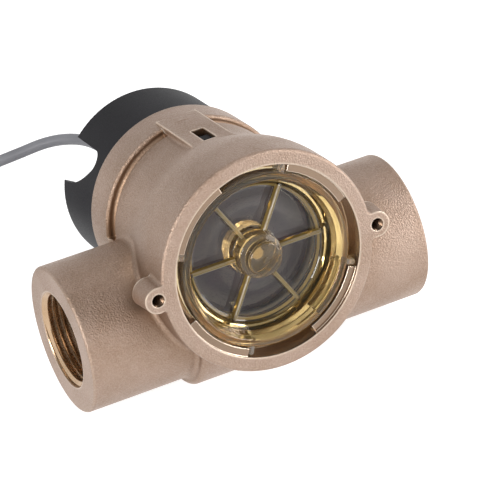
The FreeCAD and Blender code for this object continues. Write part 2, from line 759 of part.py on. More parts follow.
# Electronics bonnet
def make_bonnet():
    body = new_body("bonnet")
    skirt_inner = "(bonnet_radius - bonnet_wall)"
    spigot_inner = "(%s - spigot_wall)" % BONNET_SPIGOT
    corners = [
        ("grommet_hole_radius", "-floor_front"),
        (spigot_inner, "-floor_front"),
        (spigot_inner, "-spigot_front"),
        (BONNET_SPIGOT, "-spigot_front"),
        (BONNET_SPIGOT, "-rim_depth"),
        ("bonnet_radius - bonnet_round", "-rim_depth"),
        ("bonnet_radius", "-(rim_depth + bonnet_round)"),
        ("bonnet_radius", "-(bonnet_depth - bonnet_round)"),
        ("bonnet_radius - bonnet_round", "-bonnet_depth"),
        (skirt_inner, "-bonnet_depth"),
        (skirt_inner, "-" + FLOOR_REAR),
        ("grommet_hole_radius", "-" + FLOOR_REAR),
    ]
    arcs = {5: ("bonnet_round", True), 7: ("bonnet_round", True)}
    turned(body, "Revolution", outline(new_sketch(body, "XZ_Plane"), corners, arcs))

    # Notch through the skirt, for leading the cable out sideways: a round corner that runs into a wide sweep
    half = "notch_width / 2"
    below = "-(bonnet_depth + bonnet_round)"
    touch = "(notch_sweep / (notch_sweep - notch_corner))"
    corners = [
        ("-" + half, below),
        ("-" + half, "-bonnet_depth + notch_rise"),
        ("%s - notch_sweep + (notch_sweep - notch_run) * %s" % (half, touch),
         "-bonnet_depth + notch_rise * " + touch),
        (half, "-bonnet_depth"),
        (half, below),
    ]
    sketch = new_sketch(body, "XZ_Plane", turn="notch_angle + 90")
    outline(sketch, corners, {1: ("notch_corner", True), 2: ("notch_sweep", True)})
    raised(body, "Pocket", sketch, "bonnet_radius + bonnet_round", backwards=True)

    # Snap arm along the top, with its hook in the latch window
    arm_front = "(window_front + 2 * arm_gap)"
    sketch = rectangle(new_sketch(body, "YZ_Plane"), "cavity_radius", "-(rim_depth + bonnet_wall)",
                       ARM_TOP, "-" + arm_front)
    raised(body, "Pad", sketch, "arm_width", midplane=True)
    corners = [
        (ARM_TOP + " - arm_thickness / 2", "-" + arm_front),
        (ARM_TOP + " - arm_thickness / 2", "-(%s + hook_length)" % arm_front),
        (ARM_TOP + " + hook_rise", "-(%s + hook_length)" % arm_front),
        (ARM_TOP + " + hook_rise", "-(%s + hook_length / 2)" % arm_front),
        (ARM_TOP, "-" + arm_front),
    ]
    raised(body, "Pad", outline(new_sketch(body, "YZ_Plane"), corners), "arm_width", midplane=True)
    # Foot that ties the arm to the spigot behind the casting's neck
    sketch = rectangle(new_sketch(body, "YZ_Plane"), BONNET_SPIGOT + " - spigot_wall", "-(rim_depth + bonnet_wall)",
                       ARM_TOP, "-(rim_depth - bonnet_wall)")
    raised(body, "Pad", sketch, "arm_width", midplane=True)

    # Posts that carry the board, each with a heat-staked head
    features = []
    for radius, front, rear in (("post_radius", BOARD_REAR, "floor_front"),
                                ("stake_radius", "board_depth", BOARD_REAR),
                                ("stake_head_radius", "(board_depth - stake_head_height)", "board_depth")):
        sketch = new_sketch(body, "XY_Plane", offset="-" + rear)
        circle(sketch, "post_circle * cos(post_angle)", "post_circle * sin(post_angle)", radius)
        features.append(raised(body, "Pad", sketch, "%s - %s" % (rear, front)))
    patterned(body, features, "post_count")
    return body


# Circuit board and its components
def make_circuit_board():
    body = new_body("circuit_board")
    sketch = circle(new_sketch(body, "XY_Plane", offset="-" + BOARD_REAR), "0", "0", "board_radius")
    raised(body, "Pad", sketch, "board_thickness")
    sketch = new_sketch(body, "XY_Plane", offset="-" + BOARD_REAR)
    circle(sketch, "post_circle * cos(post_angle)", "post_circle * sin(post_angle)",
           "stake_radius + board_hole_gap")
    patterned(body, [raised(body, "Pocket", sketch, "board_thickness", backwards=True)], "post_count")
    return body


def make_hall_sensor():
    body = new_body("hall_sensor")
    sketch = new_sketch(body, "XY_Plane", offset="-board_depth")
    rectangle(sketch, "-sensor_width / 2", "magnet_circle - sensor_height / 2", "sensor_width / 2",
              "magnet_circle + sensor_height / 2")
    raised(body, "Pad", sketch, "sensor_thickness")
    # Three flat legs soldered below the package
    leg = "sensor_width / 10"
    for place in ("-sensor_width / 3", "0", "sensor_width / 3"):
        sketch = new_sketch(body, "XY_Plane", offset="-board_depth")
        rectangle(sketch, place + " - " + leg, "magnet_circle - sensor_height",
                  place + " + " + leg, "magnet_circle")
        raised(body, "Pad", sketch, "sensor_thickness / 4")
    return body


def make_board_chips(label, places, length, width, height):
    """A group of flat components soldered on the rear of the board."""
    body = new_body(label)
    body.AllowCompound = True
    for x, y in places:
        sketch = new_sketch(body, "XY_Plane", offset="-" + BOARD_REAR)
        left = "%s * board_radius" % x
        bottom = "%s * board_radius" % y
        rectangle(sketch, left, bottom, "%s + %s" % (left, length), "%s + %s" % (bottom, width))
        raised(body, "Pad", sketch, height, backwards=True)
    return body


def make_inner_leads():
    body = new_body("inner_leads")
    body.AllowCompound = True
    for turn in (90, 210, 330):
        sketch = new_sketch(body, "XY_Plane", offset="-" + CABLE_START)
        circle(sketch, "wire_circle * cos(%d)" % turn, "wire_circle * sin(%d)" % turn, "wire_radius")
        raised(body, "Pad", sketch, "%s - %s" % (CABLE_START, BOARD_REAR))
    return body


def make_cable_grommet():
    body = new_body("cable_grommet")
    corners = [
        ("cable_radius", "-(floor_front - grommet_flange)"),
        ("grommet_flange_radius", "-(floor_front - grommet_flange)"),
        ("grommet_flange_radius", "-floor_front"),
        ("grommet_hole_radius", "-floor_front"),
        ("grommet_hole_radius", "-" + FLOOR_REAR),
        ("grommet_flange_radius", "-" + FLOOR_REAR),
        ("grommet_flange_radius - grommet_flange / 2", "-(%s + grommet_flange)" % FLOOR_REAR),
        ("cable_radius", "-(%s + grommet_flange)" % FLOOR_REAR),
    ]
    turned(body, "Revolution", outline(new_sketch(body, "XZ_Plane"), corners))
    return body


# How the sensor stands: tipped back on the foot under its belly and the bonnet's lower rear edge
def bench_placement():
    edge = number("bonnet_round")
    tilt = math.radians(number(TILT))
    bezel = number("bezel_round")
    foremost = bezel * math.cos(tilt) - bezel - number("barrel_radius - bezel_round") * math.sin(tilt)
    rearmost = ((number("bonnet_radius") - edge) * math.sin(tilt)
                + (number("bonnet_depth") - edge) * math.cos(tilt) + edge)
    lift = number("foot_height") + number("port_drop") * math.cos(tilt) + number("port_depth") * math.sin(tilt)
    turn = FreeCAD.Rotation(vector(1, 0, 0), 90.0 - math.degrees(tilt))
    return FreeCAD.Placement(vector(0, -(foremost + rearmost) / 2, lift), turn)


BENCH = bench_placement()


# Cable on the bench
def rounded_path(points):
    """Straight runs joined by tangent arcs as large as the runs allow; prints each arc's radius."""
    edges = []
    last = points[0]
    for before, corner, after in zip(points, points[1:], points[2:]):
        way_in = (corner - before).normalize()
        way_out = (after - corner).normalize()
        turn = way_in.getAngle(way_out)
        reach = ARC_REACH * min((corner - before).Length, (after - corner).Length)
        radius = reach / math.tan(turn / 2)
        start = corner - way_in * reach
        end = corner + way_out * reach
        inward = (way_out - way_in).normalize()
        middle = corner + inward * (radius / math.cos(turn / 2) - radius)
        edges.append(Part.LineSegment(last, start).toShape())
        edges.append(Part.Arc(start, middle, end).toShape())
        last = end
        print("cable arc radius %.1f mm, turn %.0f degrees" % (radius, math.degrees(turn)))
    edges.append(Part.LineSegment(last, points[-1]).toShape())
    return Part.Wire(edges)


def tube(path, radius):
    """A round solid along a path."""
    start = path.OrderedVertexes[0].Point
    ahead = path.OrderedEdges[0].tangentAt(path.OrderedEdges[0].FirstParameter)
    ring = Part.Wire(Part.makeCircle(radius, start, ahead))
    solid = path.makePipeShell([ring], True, False)
    wanted = math.pi * radius ** 2 * path.Length
    if abs(solid.Volume - wanted) > 0.02 * wanted:
        raise ValueError("tube volume %.1f, wanted %.1f" % (solid.Volume, wanted))
    return solid


def on_axis(depth):
    """The bench point on the lens axis at a depth behind the bezel."""
    return BENCH.multVec(vector(0, 0, -number(depth)))


def new_feature(label, shape):
    feature = doc.addObject("Part::Feature", label)
    feature.Label = label
    feature.Shape = shape
    feature.Placement = FreeCAD.Placement()
    return feature


def coil_points():
    """Where the cable meets the coil and where its tail leaves it."""
    cable = number("cable_radius")
    outer = number("coil_radius") + cable
    meet = vector(COIL_CENTRE[0] + number("coil_stub"), COIL_CENTRE[1] + outer, cable)
    leave = vector(COIL_CENTRE[0] - outer, COIL_CENTRE[1], 3 * cable)
    tail_end = leave + vector(0, -number("coil_tail"), -2 * cable)
    return meet, leave, tail_end


def make_cable():
    meet, leave, tail_end = coil_points()
    points = [on_axis(CABLE_START), on_axis("bonnet_depth")] + [vector(*p) for p in ROUTE] + [meet]
    path = rounded_path(points)
    print("cable length to the coil %.1f mm" % path.Length)
    return new_feature("cable", tube(path, number("cable_radius")))


def make_cable_coil():
    """Outer shape of the wound turns, two side by side in two layers, with the cord's two ends."""
    cable = number("cable_radius")
    meet, leave, tail_end = coil_points()
    inner = number("coil_radius") - 2 * cable
    outer = number("coil_radius") + 2 * cable
    section = Part.makeBox(outer - inner, 1, 4 * cable).Faces
    profile = next(face for face in section if face.normalAt(0, 0).y < -0.5)
    profile.translate(vector(inner, 0, 0))
    ring = profile.revolve(vector(0, 0, 0), vector(0, 0, 1), 360)
    edges = [e for e in ring.Edges if isinstance(e.Curve, Part.Circle)]
    ring = ring.makeFillet(number("coil_round"), edges)
    ring.translate(vector(COIL_CENTRE[0], COIL_CENTRE[1], 0))
    stub = Part.makeCylinder(cable, number("coil_stub"), meet, vector(-1, 0, 0))
    slope = tail_end - leave
    tail = Part.makeCylinder(cable, slope.Length, leave, slope)
    return new_feature("cable_coil", ring.fuse([stub, tail]).removeSplitter())


def make_coil_tie():
    """A flat band round the bundle of turns."""
    cable = number("cable_radius")
    thick = number("tie_thickness")
    width = number("tie_width")
    side = 4 * cable
    centre = vector(COIL_CENTRE[0], COIL_CENTRE[1] - number("coil_radius"), 0)
    block = Part.makeBox(width, side + 2 * thick, side + thick,
                         centre + vector(-width / 2, -side / 2 - thick, 0))
    long_edges = [e for e in block.Edges if abs(e.tangentAt(e.FirstParameter).x) > 0.9]
    block = block.makeFillet(cable, [e for e in long_edges if e.CenterOfMass.z > cable])
    return new_feature("coil_tie", block.cut(doc.getObject("cable_coil").Shape))


def lead_route(side, turn):
    """Three points of one lead: out of the jacket, down to the bench, and along it.

    side is -1, 0 or 1, and turn the lead's angle in the jacket."""
    meet, leave, tail_end = coil_points()
    wire = number("wire_radius")
    length = number("lead_length")
    ahead = (tail_end - leave).normalize()
    place = vector(number("wire_circle * cos(%d)" % turn), 0, number("wire_circle * sin(%d)" % turn))
    start = tail_end + place + ahead * (wire / 2)
    bend = vector(start.x + side * number("lead_bend"), start.y - length / 2, wire)
    return [start, bend, vector(start.x + side * number("lead_spread"), start.y - length, wire)]


def make_leads():
    pieces = []
    tips = []
    for label, side, turn in (("lead_red", -1, 150), ("lead_white", 0, 270), ("lead_black", 1, 30)):
        path = rounded_path(lead_route(side, turn))
        pieces.append(new_feature(label, tube(path, number("wire_radius"))))
        end = path.OrderedVertexes[-1].Point
        edge = path.OrderedEdges[-1]
        ahead = edge.tangentAt(edge.LastParameter)
        tips.append(Part.makeCylinder(number("tip_radius"), number("tip_length"), end, ahead))
    pieces.append(new_feature("lead_tips", Part.makeCompound(tips)))
    return pieces


# Assembly
RESISTORS = [("-0.55", "-0.1"), ("-0.55", "0.1"), ("0.4", "-0.1"), ("0.4", "0.1")]
CAPACITORS = [("-0.3", "0.45"), ("0.2", "0.45")]
DIODES = [("-0.12", "-0.4")]
sensor = [
    make_body_casting(),
    make_lens(),
    make_lens_o_ring(),
    make_rotor(),
    make_rotor_magnets(),
    make_rotor_pin(),
    make_bonnet(),
    make_circuit_board(),
    make_hall_sensor(),
    make_board_chips("board_resistors", RESISTORS, "chip_length", "chip_width", "resistor_height"),
    make_board_chips("board_capacitors", CAPACITORS, "chip_length", "chip_width", "capacitor_height"),
    make_board_chips("board_diode", DIODES, "diode_length", "diode_width", "diode_height"),
    make_inner_leads(),
    make_cable_grommet(),
]
doc.recompute()
for body in sensor:
    body.Placement = BENCH
on_bench = [make_cable(), make_cable_coil(), make_coil_tie()] + make_leads()
doc.recompute()

for item in doc.Objects:
    if "Invalid" in item.State or "Error" in item.State:
        raise RuntimeError("%s failed to build: %s" % (item.Label, item.State))
for piece in sensor + on_bench:
    if piece.Shape.isNull() or not piece.Shape.isValid():
        raise RuntimeError("%s has no valid shape" % piece.Label)

os.makedirs("parts", exist_ok=True)
for piece in sensor + on_bench:
    piece.Shape.exportStep("parts/%s.step" % piece.Label)
    print("%-18s %2d solids %9.1f mm3" % (piece.Label, len(piece.Shape.Solids), piece.Shape.Volume))
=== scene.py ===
import json
import math

import bmesh
import bpy
from mathutils import Matrix, Vector


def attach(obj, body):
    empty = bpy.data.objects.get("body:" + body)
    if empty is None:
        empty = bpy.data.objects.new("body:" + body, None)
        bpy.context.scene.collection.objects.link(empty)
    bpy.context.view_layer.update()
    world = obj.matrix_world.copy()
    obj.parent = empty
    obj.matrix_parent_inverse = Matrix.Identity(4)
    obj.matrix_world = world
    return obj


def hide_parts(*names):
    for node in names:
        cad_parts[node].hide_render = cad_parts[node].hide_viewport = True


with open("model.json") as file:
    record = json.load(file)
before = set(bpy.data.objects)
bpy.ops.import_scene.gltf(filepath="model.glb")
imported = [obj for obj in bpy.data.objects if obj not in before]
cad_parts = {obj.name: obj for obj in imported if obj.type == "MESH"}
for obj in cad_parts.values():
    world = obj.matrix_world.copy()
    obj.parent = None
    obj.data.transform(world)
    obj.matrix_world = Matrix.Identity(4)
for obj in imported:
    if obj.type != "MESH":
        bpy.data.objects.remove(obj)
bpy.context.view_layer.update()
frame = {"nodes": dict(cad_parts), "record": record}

nodes = frame["nodes"]
mounts = {mount["name"]: mount for mount in frame["record"]["mounts"]}
MM = 0.001

# Lens frame: X along the pipe, Y up the bezel, Z out of the lens, with the bezel's face at Z = 0
BEZEL = Vector(mounts["ear_holes"]["pos_m"])
OUT = Vector(mounts["ear_holes"]["axis"]).normalized()
ALONG = Vector((1, 0, 0))
UP = OUT.cross(ALONG)
LENS_FRAME = Matrix.Translation(BEZEL) @ Matrix((ALONG, UP, OUT)).transposed().to_4x4()
EAR_RADIUS = mounts["ear_holes"]["dims"]["pcd_mm"] / 2
EAR_HOLE = mounts["ear_holes"]["dims"]["hole_r_mm"]

# Threads in millimetres: taper pipe thread in the ports, coarse screw thread in the ears
PORT_BORE = mounts["left_port"]["dims"]["r_mm"]
PORT_LENGTH = mounts["left_port"]["dims"]["length_mm"]
PORT_PITCH = 1.814
PORT_CREST = 11.9
EAR_PITCH = 0.7
EAR_CREST = 1.42
EAR_DEPTH = 5.8
THREAD_GAP = 0.01
THREAD_STEPS = 120
THREAD_SMOOTH = 25.0
# Flat at the crest and at the root, as a share of the pitch
CREST_SHARE = 0.14
# Sleeve left behind the root, as a share of the room between bore and crest
ROOT_SHARE = 0.15

# Lens in millimetres and degrees, depths behind the bezel's face
BEZEL_BORE = 25.85
MOUTH_DEPTH = 14.0
LENS_RIM = 1.3
LENS_OUTER = 23.35
LENS_SPIGOT = 21.25
LENS_STEPS = 144
LENS_SMOOTH = 42.0
CUP_RIM = 21.4
CUP_FLOOR = 18.6
WINDOW_FRONT = 8.75
WINDOW_REAR = 11.35
FLANGE_REAR = 6.25
LUG_FRONT = 3.75
LUG_REAR = 6.05
LUG_OUTER = 25.45
LUG_ANGLE = 40.5
LUG_COUNT = 4
LIP_END = 67.5
STOP_FRONT = 1.35
STOP_GAP = 0.8
STOP_ANGLE = 3.5
BAR_STEP = 1.2
SEAL_FLOOR = 19.77
SEAL_FRONT = 9.5
SEAL_REAR = 11.28
SKIRT_REAR = 12.45
SKIRT_INNER = 18.45
HUB_RADIUS = 6.0
HUB_FACE = 1.7
HUB_TIP = 4.5
HUB_DRAFT = 0.2
HUB_STEP = 4.4
HUB_SLOPE = 0.3
NUB_RADIUS = 0.9
NUB_HEIGHT = 0.35
BOSS_RADIUS = 6.2
BOSS_REAR = 16.0
PIN_HOLE = 1.55
PIN_HOLE_FRONT = 9.3
RIB_COUNT = 6
RIB_WIDTH = 1.3
RIB_TAPER = 0.72
RIB_HEIGHT = 1.8
RIB_SINK = 0.3
RIB_REACH = 0.4

# Rounded edges of the lens in millimetres
NUB_ROUND = 0.25
HUB_ROUND = 0.6
STEP_ROUND = 0.3
SHOULDER_ROUND = 0.4
CUP_ROUND = 2.4
RIM_ROUND = 0.5
FLANGE_ROUND = 0.15
SEAL_ROUND = 0.1
SKIRT_ROUND = 0.3
BAR_ROUND = 0.3
RIB_ROUND = 0.25
ROUND_STEPS = 5
EDGE_SEGMENTS = 3

# Cable in millimetres: its route from inside the bonnet to the coil, and the coil
CABLE_RADIUS = 1.65
CABLE_START_DEPTH = 53.8
BONNET_DEPTH = 76.9
ROUTE = [(-0.7, 60.0, 16.7), (-2.6, 73.8, 14.3), (-10.3, 82.8, 11.2), (-21.5, 86.4, 7.0),
         (-32.5, 89.4, 3.9), (-42.5, 91.45, 1.65), (-49.0, 91.45, 1.65)]
COIL_CENTRE = (-62.0, 70.0)
COIL_INNER = 18.15
COIL_OUTER = 21.45
COIL_POINTS = 24
COIL_LOW = CABLE_RADIUS
COIL_HIGH = 3 * CABLE_RADIUS
# Turns over which the cable winds, moves in, climbs on top of itself and moves out again
COIL_TURNS = 3.25
COIL_IN = (0.75, 0.92)
COIL_UP = (1.58, 1.75)
COIL_OUT = (2.75, 2.95)
# Share of the tail's length, and height
TAIL_LENGTH = 22.0
TAIL = ((0.0, COIL_HIGH), (0.35, COIL_HIGH - 0.3), (0.7, COIL_LOW + 0.6), (1.0, COIL_LOW))

# Angle in degrees up to which the carried-over pieces are smooth
NODE_SMOOTH = 28.0

# Bronze: colours, and sizes in millimetres
BRONZE_DARK = (0.325, 0.22, 0.16)
BRONZE_LIGHT = (0.39, 0.28, 0.22)
BRONZE_GRAIN = (0.54, 0.42, 0.34)
BRONZE_FACE = (0.4, 0.31, 0.255)
# Painted shade: darker, browner colour in crevices and between parts
BRONZE_PAINTED_SHADE = (0.19, 0.105, 0.045)
# Rubbed edges, partly painted highlight
BRONZE_WORN_AND_HIGHLIGHT = (0.8, 0.66, 0.53)
BRONZE_TURNED = (0.34, 0.24, 0.17)
# Painted highlight along the edges of the turned lips
BRONZE_TURNED_EDGE_HIGHLIGHT = (0.85, 0.74, 0.62)
GRAIN_SIZE = 0.45
GRAIN_DEPTH = 0.3
WAVE_SIZE = 4.0
WAVE_DEPTH = 0.1
BLOTCH_SIZE = 12.0
# How far the painted shade in crevices reaches
SHADE_REACH = 14.0
# How far the rubbed edges, partly painted highlight, reach in from an edge
WEAR_AND_HIGHLIGHT_REACH = 0.8
FACE_MARGIN = 0.05
TURNED_MARGIN = 0.2

# Clear plastic: colours, how opaque each region is, and margins of the regions in millimetres
WINDOW_TONE = (0.99, 0.98, 1.0)
WALL_TONE = (0.92, 0.75, 0.42)
HUB_TONE = (0.86, 0.74, 0.5)
RIB_TONE = (0.55, 0.38, 0.12)
# Painted highlight along the ribs' edges
RIB_EDGE_HIGHLIGHT = (1.0, 0.92, 0.68)
FLANK_TONE = (0.92, 0.87, 0.8)
DEPTH_TONE = (0.95, 0.81, 0.47, 1.0)
DEPTH_DENSITY = 100.0
WALL_BODY = 0.025
HUB_BODY = 0.07
RIB_BODY = 0.45
FLANK_BODY = 0.14
WINDOW_MARGIN = 0.15
WALL_MARGIN = 0.2
HUB_MARGIN = 0.1
FLANK_MARGIN = 0.1
LENS_IOR = 1.53

# Plastics: node, material, tone, shade, roughness, and what else differs
PLASTICS = (
    ("bonnet", "bonnet_plastic", (0.013, 0.012, 0.015), (0.009, 0.0085, 0.0105), 0.5,
     {"gloss": 0.12}),
    ("rotor", "rotor_plastic", (0.04, 0.024, 0.06), (0.027, 0.016, 0.041), 0.42,
     {"grain": 0.5, "depth": 0.001}),
    ("rotor_pin", "pin_ceramic", (0.82, 0.8, 0.74), (0.74, 0.72, 0.66), 0.25, {"depth": 0.002}),
    ("lens_o_ring", "seal_rubber", (0.022, 0.022, 0.022), (0.015, 0.015, 0.015), 0.6, {}),
    ("cable_grommet", "grommet_rubber", (0.022, 0.022, 0.022), (0.015, 0.015, 0.015), 0.6, {}),
    ("circuit_board", "board_laminate", (0.02, 0.16, 0.06), (0.015, 0.12, 0.045), 0.3, {}),
    ("hall_sensor", "sensor_package", (0.03, 0.03, 0.03), (0.02, 0.02, 0.02), 0.5, {}),
    ("board_resistors", "resistor_body", (0.03, 0.03, 0.03), (0.02, 0.02, 0.02), 0.4, {}),
    ("board_diode", "diode_body", (0.03, 0.03, 0.03), (0.02, 0.02, 0.02), 0.45, {}),
    ("board_capacitors", "capacitor_body", (0.45, 0.3, 0.17), (0.38, 0.25, 0.14), 0.4, {}),
    ("inner_leads", "inner_insulation", (0.75, 0.75, 0.73), (0.68, 0.68, 0.66), 0.35, {}),
    ("coil_tie", "tie_nylon", (0.035, 0.035, 0.035), (0.025, 0.025, 0.025), 0.4, {}),
    ("lead_red", "red_insulation", (0.5, 0.03, 0.03), (0.42, 0.02, 0.02), 0.35, {}),
    ("lead_white", "white_insulation", (0.8, 0.8, 0.78), (0.74, 0.74, 0.72), 0.35, {}),
    ("lead_black", "black_insulation", (0.025, 0.025, 0.025), (0.018, 0.018, 0.018), 0.35, {}),
)

# Camera: place in millimetres, angles in degrees, lens and sensor in millimetres
CAMERA_PLACE = (-225.815, -491.581, 456.969)
CAMERA_AZIMUTH = -25.57
CAMERA_ELEVATION = 38.51
CAMERA_ROLL = -2.47
CAMERA_LENS = 194.21
CAMERA_SENSOR = 36.0

# Light: name, azimuth and elevation in degrees, distance and side in metres, power in watts
LIGHTS = (
    ("key_light", -65, 25, 0.8, 0.36, 4.0),
    ("front_light", 52, 10, 0.45, 0.3, 0.85),
    ("side_light", 75, 32, 0.45, 0.17, 0.72),
    ("top_light", 150, 62, 0.8, 0.3, 1.15),
)
LIGHT_TARGET = (0, 0, 0.04)
# Brighter side of the studio in reflections, and the light that fills the shadows
FRONT = (-0.35, -0.9, 0.25)
FILL_LIGHT = 0.34
# Floor in metres, with a patch painted dimmer in reflections and through plastic
FLOOR_HALF = 3.0
FLOOR_TONE = (0.5, 0.5, 0.5, 1.0)
FLOOR_GLOW = 0.85
DIM_SPOT = (0.065, -0.23, 0)
DIM_CORE = 0.04
DIM_RADIUS = 0.11
DIM_GLOW = 0.1


# Mesh helpers
def place(piece, body, material, smooth=None):
    """Give a new piece its material and body, and smooth a mesh up to an angle."""
    piece.data.materials.clear()
    piece.data.materials.append(material)
    if smooth is not None:
        piece.data.shade_smooth()
        piece.data.set_sharp_from_angle(angle=math.radians(smooth))
    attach(piece, body)


def new_object(name, data):
    """An object in the scene."""
    piece = bpy.data.objects.new(name, data)
    bpy.context.scene.collection.objects.link(piece)
    return piece


def mesh_object(name, mesh_builder, matrix):
    """An object from a bmesh in millimetres, moved by a matrix given in metres."""
    bmesh.ops.recalc_face_normals(mesh_builder, faces=mesh_builder.faces)
    mesh = bpy.data.meshes.new(name)
    mesh_builder.to_mesh(mesh)
    mesh_builder.free()
    mesh.transform(matrix @ Matrix.Scale(MM, 4))
    return new_object(name, mesh)


def rounded(corners):
    """A profile through corners (radius, height, fillet), each corner eased by an arc."""
    steps = ROUND_STEPS
    points = []
    for i, (r, z, fillet) in enumerate(corners):
        corner = Vector((r, z))
        if fillet == 0:
            points.append(corner)
            continue
        before = (Vector(corners[i - 1][:2]) - corner).normalized()
        after = (Vector(corners[(i + 1) % len(corners)][:2]) - corner).normalized()
        half = before.angle(after) / 2
        reach = fillet / math.tan(half)
        middle = corner + (before + after).normalized() * (fillet / math.sin(half))
        first = corner + before * reach - middle
        last = corner + after * reach - middle
        turn = first.angle_signed(last)
        for k in range(steps + 1):
            points.append(middle + Matrix.Rotation(-turn * k / steps, 2) @ first)
    return points


def lathe(profile, steps):
    """A closed solid turned about Z from a profile that starts and ends on the axis."""
    turned = bmesh.new()
    rings = []
    for r, z in profile:
        if r < 1e-6:
            rings.append([turned.verts.new((0, 0, z))] * steps)
            continue
        angles = [2 * math.pi * k / steps for k in range(steps)]
        rings.append([turned.verts.new((r * math.cos(a), r * math.sin(a), z)) for a in angles])
    for low, high in zip(rings, rings[1:]):
        for k in range(steps):
            j = (k + 1) % steps
            corners = [low[k], low[j], high[j], high[k]]
            turned.faces.new(list(dict.fromkeys(corners)))
    return turned


def unite(base, others):
    """Join closed pieces to a base, as one solid skin."""
    for other in others:
        union = base.modifiers.new("union", "BOOLEAN")
        union.operation = "UNION"
        union.solver = "MANIFOLD"
        union.object = other
    joined = base.evaluated_get(bpy.context.evaluated_depsgraph_get())
    skin = bpy.data.meshes.new_from_object(joined)
    base.modifiers.clear()
    base.data = skin
    for other in others:
        bpy.data.objects.remove(other)


# Material helpers
def new_material(name):
    """A material with its node tree and its principled shader."""
    material = bpy.data.materials.new(name)
    material.use_nodes = True
    return material, material.node_tree, material.node_tree.nodes["Principled BSDF"]


def put(tree, value, socket):
    """Set a socket to a number or colour, or link another node's output to it."""
    if isinstance(value, bpy.types.NodeSocket):
        tree.links.new(value, socket)
    else:
        socket.default_value = value


def feed(tree, node, inputs):
    """Give several of a node's inputs their values or links."""
    for name, value in inputs.items():
        put(tree, value, node.inputs[name])


def add(tree, kind, inputs=None, **settings):
    """A node of a kind, with its settings and inputs."""
    node = tree.nodes.new("ShaderNode" + kind)
    for name, value in settings.items():
        setattr(node, name, value)
    feed(tree, node, inputs or {})
    return node


def maths(tree, operation, first, second):
    """Arithmetic on two numbers."""
    return add(tree, "Math", {0: first, 1: second}, operation=operation).outputs[0]


def product(tree, first, *others):
    """Numbers multiplied together."""
    for other in others:
        first = maths(tree, "MULTIPLY", first, other)
    return first


def most(tree, first, *others):
    """The largest of several numbers."""
    for other in others:
        first = maths(tree, "MAXIMUM", first, other)
    return first


def vectors(tree, operation, inputs, result="Vector"):
    """Arithmetic on vectors."""
    return add(tree, "VectorMath", inputs, operation=operation).outputs[result]


def spread(tree, value, low, high, to_low=0.0, to_high=1.0):
    """A number carried from one range to another, and held at its ends."""
    inputs = {"Value": value, "From Min": low, "From Max": high,
              "To Min": to_low, "To Max": to_high}
    return add(tree, "MapRange", inputs).outputs["Result"]


def colours(tree, factor, first, second):
    """A mix of two colours."""
    mix = add(tree, "Mix", {"Factor": factor}, data_type="RGBA")
    for socket, value in ((mix.inputs[6], first), (mix.inputs[7], second)):
        put(tree, (*value, 1.0) if isinstance(value, tuple) else value, socket)
    return mix.outputs[2]


def noise(tree, size, detail=3.0):
    """Noise fixed to the part, whose grains are about size millimetres across."""
    where = add(tree, "TexCoord").outputs["Object"]
    inputs = {"Vector": where, "Scale": 1 / (size * MM), "Detail": detail}
    return add(tree, "TexNoise", inputs).outputs["Fac"]


def bumped(tree, height, depth, normal=None, strength=1.0):
    """A normal from a height, where depth is the height's real size in millimetres."""
    inputs = {"Height": height, "Distance": depth * MM, "Strength": strength}
    if normal is not None:
        inputs["Normal"] = normal
    return add(tree, "Bump", inputs).outputs["Normal"]


def eased_normal(tree, radius, samples=6):
    """The surface's normal with edges rounded to a radius in millimetres."""
    return add(tree, "Bevel", {"Radius": radius * MM}, samples=samples).outputs["Normal"]


def bend_of(tree, radius):
    """1 on a flat or gently curved surface, less within a radius in millimetres of an edge."""
    true_normal = add(tree, "NewGeometry").outputs["Normal"]
    return vectors(tree, "DOT_PRODUCT", {0: eased_normal(tree, radius), 1: true_normal}, "Value")


def openness(tree, reach, inside=False):
    """1 where nothing of the piece is near, less where it closes in within reach millimetres."""
    inputs = {"Distance": reach * MM}
    node = add(tree, "AmbientOcclusion", inputs, samples=8, inside=inside, only_local=True)
    return node.outputs["AO"]


def lens_places(tree):
    """Distance from the lens axis and height over the bezel's face, in metres."""
    where = add(tree, "TexCoord").outputs["Object"]
    offset = vectors(tree, "SUBTRACT", {0: where, 1: tuple(BEZEL)})
    height = vectors(tree, "DOT_PRODUCT", {0: offset, 1: tuple(OUT)}, "Value")
    along = vectors(tree, "SCALE", {0: tuple(OUT), "Scale": height})
    across = vectors(tree, "SUBTRACT", {0: offset, 1: along})
    return vectors(tree, "LENGTH", {0: across}, "Value"), height


